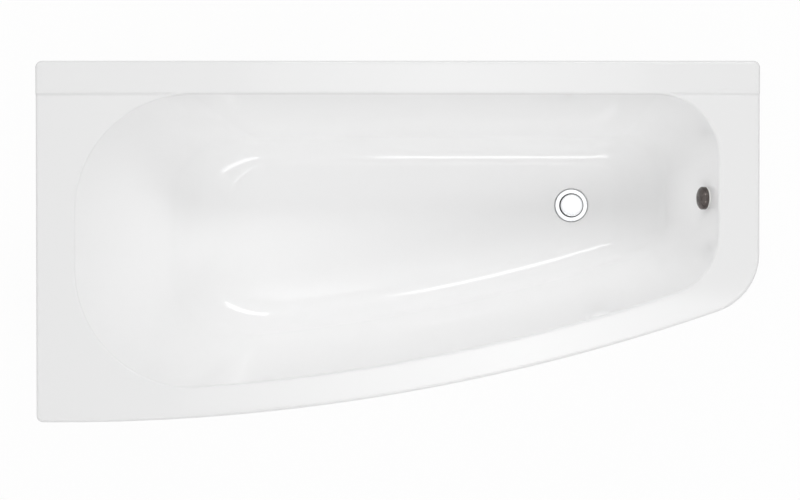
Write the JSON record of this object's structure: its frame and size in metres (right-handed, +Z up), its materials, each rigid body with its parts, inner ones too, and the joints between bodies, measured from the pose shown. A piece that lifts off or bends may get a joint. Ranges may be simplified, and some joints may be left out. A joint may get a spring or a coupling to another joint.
{
  "type": "corner bathtub",
  "caption": "Asymmetric space-saving corner bath: white acrylic tub with bowed front, sloping backrest, push plug waste and overflow, on a leg set with front panel and trap",
  "frame": {"origin": "on the floor, below the middle of the rim's box", "axes": "+X from the backrest end to the waste end, +Y to the long wall, +Z up"},
  "size_m": [1.5, 0.7498, 0.584],
  "materials": {
    "acrylic_white": "polished formed acrylic sheet",
    "glass_fibre": "rough sprayed glass fibre and resin",
    "timber": "plain sawn board",
    "zinc_steel": "zinc plated",
    "chrome": "polished chrome plate",
    "rubber_black": "matt",
    "brass": "turned",
    "pipe_white": "moulded polypropylene",
    "pad_black": "moulded"
  },
  "bodies": {
    "tub": {"acrylic_shell": "acrylic_white", "front_panel": "acrylic_white", "glass_fibre_backing": "glass_fibre", "base_board": "timber", "rim_batten_back": "timber", "rim_batten_head": "timber", "rim_batten_foot": "timber", "rim_batten_front": "timber", "wall_bracket_back_head": "zinc_steel", "wall_bracket_back_foot": "zinc_steel", "wall_bracket_head": "zinc_steel", "bracket_screws": "zinc_steel", "panel_clips": "zinc_steel", "clip_screws": "zinc_steel", "cross_bar_head": "zinc_steel", "cross_bar_foot": "zinc_steel", "panel_strips": "zinc_steel", "panel_screws": "zinc_steel", "bar_screws": "zinc_steel", "foot_weld_nuts": "zinc_steel", "foot_lock_nuts": "zinc_steel", "waste_flange": "chrome", "overflow_cap": "chrome", "waste_upper_seal": "rubber_black", "waste_lower_seal": "rubber_black", "overflow_seal": "rubber_black", "waste_body": "pipe_white", "plug_cartridge": "pipe_white", "overflow_bezel": "pipe_white", "overflow_elbow": "pipe_white", "overflow_pipe": "pipe_white", "branch_nut": "pipe_white", "trap_bend": "pipe_white", "trap_outlet": "pipe_white", "trap_outlet_nut": "pipe_white", "trap_inlet_nut": "pipe_white"},
    "foot_back_head": {"foot_stud_back_head": "zinc_steel", "foot_pad_back_head": "pad_black"},
    "foot_front_head": {"foot_stud_front_head": "zinc_steel", "foot_pad_front_head": "pad_black"},
    "foot_back_foot": {"foot_stud_back_foot": "zinc_steel", "foot_pad_back_foot": "pad_black"},
    "foot_front_foot": {"foot_stud_front_foot": "zinc_steel", "foot_pad_front_foot": "pad_black"},
    "plug": {"plug_cap": "chrome", "plug_stem": "brass", "plug_seal": "rubber_black"}
  },
  "joints": [
    {"name": "plug_press", "type": "slide", "parent": "tub", "child": "plug", "axis": [0, 0, 1], "range_m": [-0.008, 0], "stiffness_N_per_m": 400, "springref_m": 0.01},
    {"name": "foot_back_head_height", "type": "slide", "parent": "tub", "child": "foot_back_head", "axis": [0, 0, 1], "range_m": [-0.01, 0.01]},
    {"name": "foot_front_head_height", "type": "slide", "parent": "tub", "child": "foot_front_head", "axis": [0, 0, 1], "range_m": [-0.01, 0.01]},
    {"name": "foot_back_foot_height", "type": "slide", "parent": "tub", "child": "foot_back_foot", "axis": [0, 0, 1], "range_m": [-0.01, 0.01]},
    {"name": "foot_front_foot_height", "type": "slide", "parent": "tub", "child": "foot_front_foot", "axis": [0, 0, 1], "range_m": [-0.01, 0.01]}
  ]
}
